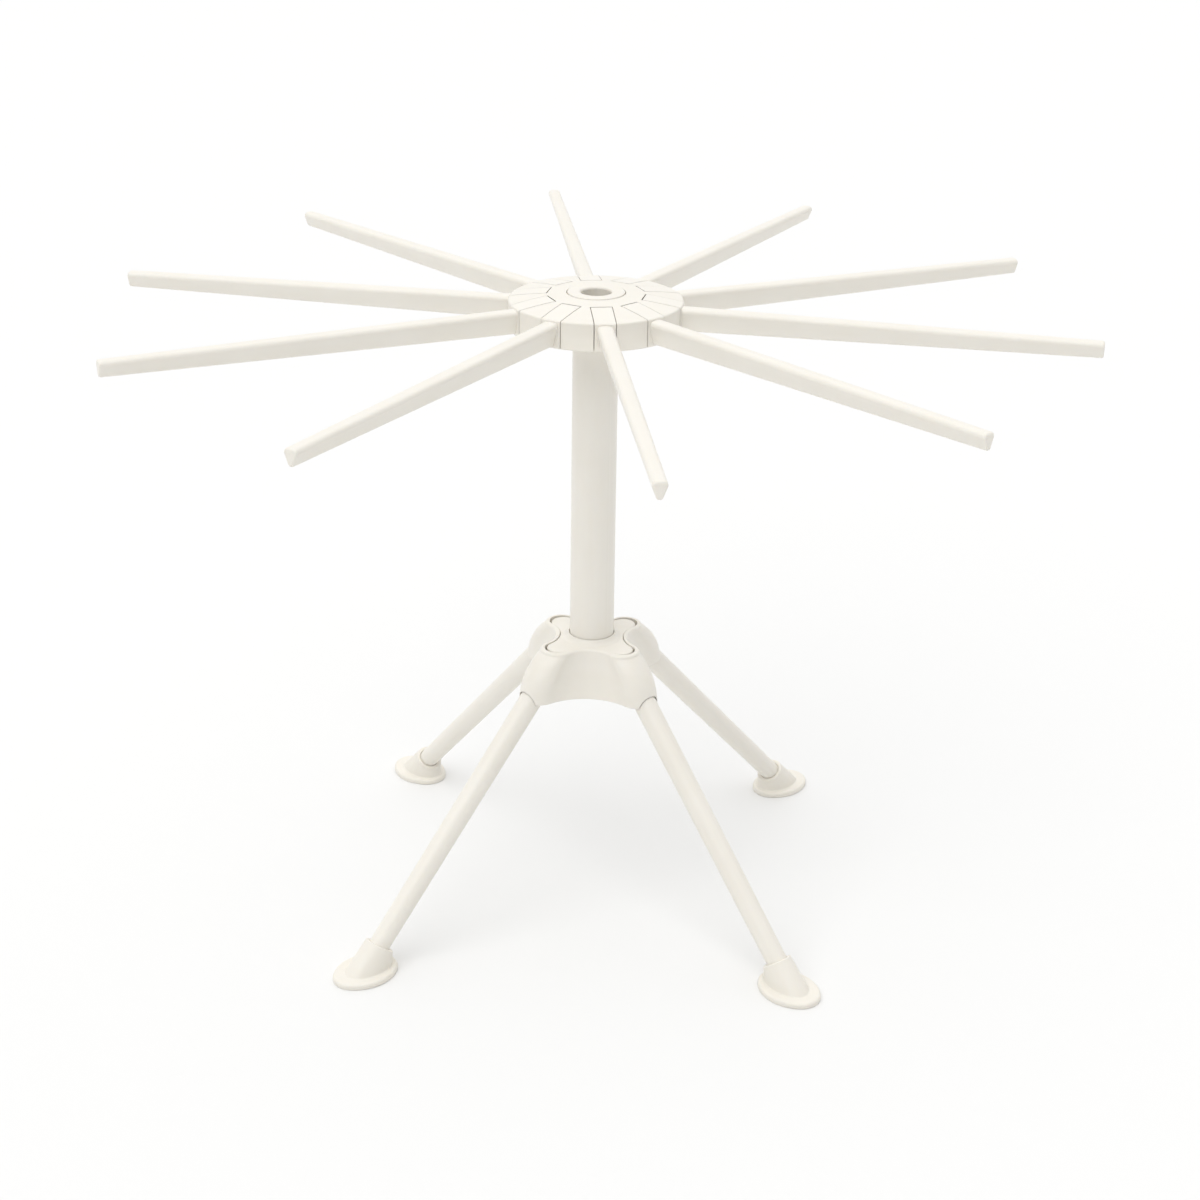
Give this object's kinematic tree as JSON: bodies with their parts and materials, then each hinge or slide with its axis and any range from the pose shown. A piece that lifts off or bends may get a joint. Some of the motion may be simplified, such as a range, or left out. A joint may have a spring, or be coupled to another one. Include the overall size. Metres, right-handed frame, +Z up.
{
  "type": "pasta drying rack",
  "caption": "Free-standing rack with rods that fold up on a slotted hub, a tube post and splayed legs that fold in, for hanging fresh pasta to dry.",
  "frame": {"origin": "on the table, on the post's axis, midway between the feet", "axes": "+Z up along the post; the front right leg points along +X -Y"},
  "size_m": [0.4154, 0.4154, 0.28],
  "materials": {
    "shell_plastic": "satin moulded ivory plastic",
    "rod_plastic": "satin moulded ivory plastic, smooth",
    "foot_plastic": "satin moulded ivory plastic",
    "pin_steel": "plain drawn steel",
    "screw_steel": "zinc-plated steel"
  },
  "bodies": {
    "frame": {"post": "rod_plastic", "post_screw": "screw_steel", "hub_body": "shell_plastic", "hub_retainer": "shell_plastic", "hub_screws": "screw_steel", "hub_cap": "shell_plastic", "arm_pins": "pin_steel", "base_housing": "shell_plastic", "base_cover": "shell_plastic", "leg_pins": "pin_steel"},
    "arm_01": {"arm_01": "rod_plastic"},
    "arm_02": {"arm_02": "rod_plastic"},
    "arm_03": {"arm_03": "rod_plastic"},
    "arm_04": {"arm_04": "rod_plastic"},
    "arm_05": {"arm_05": "rod_plastic"},
    "arm_06": {"arm_06": "rod_plastic"},
    "arm_07": {"arm_07": "rod_plastic"},
    "arm_08": {"arm_08": "rod_plastic"},
    "arm_09": {"arm_09": "rod_plastic"},
    "arm_10": {"arm_10": "rod_plastic"},
    "leg_1": {"leg_1": "rod_plastic", "foot_1": "foot_plastic"},
    "leg_2": {"leg_2": "rod_plastic", "foot_2": "foot_plastic"},
    "leg_3": {"leg_3": "rod_plastic", "foot_3": "foot_plastic"},
    "leg_4": {"leg_4": "rod_plastic", "foot_4": "foot_plastic"}
  },
  "joints": [
    {"name": "arm_01_fold", "type": "hinge", "parent": "frame", "child": "arm_01", "pos_m": [0.0186, -0.0186, 0.2726], "axis": [-0.7071, -0.7071, 0], "range_deg": [0, 88]},
    {"name": "arm_02_fold", "type": "hinge", "parent": "frame", "child": "arm_02", "pos_m": [0.02598, -0.00411, 0.2726], "axis": [-0.1564, -0.9877, 0], "range_deg": [0, 88]},
    {"name": "arm_03_fold", "type": "hinge", "parent": "frame", "child": "arm_03", "pos_m": [0.02343, 0.01194, 0.2726], "axis": [0.454, -0.891, 0], "range_deg": [0, 88]},
    {"name": "arm_04_fold", "type": "hinge", "parent": "frame", "child": "arm_04", "pos_m": [0.01194, 0.02343, 0.2726], "axis": [0.891, -0.454, 0], "range_deg": [0, 88]},
    {"name": "arm_05_fold", "type": "hinge", "parent": "frame", "child": "arm_05", "pos_m": [-0.00411, 0.02598, 0.2726], "axis": [0.9877, 0.1564, 0], "range_deg": [0, 88]},
    {"name": "arm_06_fold", "type": "hinge", "parent": "frame", "child": "arm_06", "pos_m": [-0.0186, 0.0186, 0.2726], "axis": [0.7071, 0.7071, 0], "range_deg": [0, 88]},
    {"name": "arm_07_fold", "type": "hinge", "parent": "frame", "child": "arm_07", "pos_m": [-0.02598, 0.00411, 0.2726], "axis": [0.1564, 0.9877, 0], "range_deg": [0, 88]},
    {"name": "arm_08_fold", "type": "hinge", "parent": "frame", "child": "arm_08", "pos_m": [-0.02343, -0.01194, 0.2726], "axis": [-0.454, 0.891, 0], "range_deg": [0, 88]},
    {"name": "arm_09_fold", "type": "hinge", "parent": "frame", "child": "arm_09", "pos_m": [-0.01194, -0.02343, 0.2726], "axis": [-0.891, 0.454, 0], "range_deg": [0, 88]},
    {"name": "arm_10_fold", "type": "hinge", "parent": "frame", "child": "arm_10", "pos_m": [0.00411, -0.02598, 0.2726], "axis": [-0.9877, -0.1564, 0], "range_deg": [0, 88]},
    {"name": "leg_1_fold", "type": "hinge", "parent": "frame", "child": "leg_1", "pos_m": [0.0169, -0.0169, 0.11276], "axis": [0.7071, 0.7071, 0], "range_deg": [0, 43]},
    {"name": "leg_2_fold", "type": "hinge", "parent": "frame", "child": "leg_2", "pos_m": [0.0169, 0.0169, 0.11276], "axis": [-0.7071, 0.7071, 0], "range_deg": [0, 43]},
    {"name": "leg_3_fold", "type": "hinge", "parent": "frame", "child": "leg_3", "pos_m": [-0.0169, 0.0169, 0.11276], "axis": [-0.7071, -0.7071, 0], "range_deg": [0, 43]},
    {"name": "leg_4_fold", "type": "hinge", "parent": "frame", "child": "leg_4", "pos_m": [-0.0169, -0.0169, 0.11276], "axis": [0.7071, -0.7071, 0], "range_deg": [0, 43]}
  ]
}
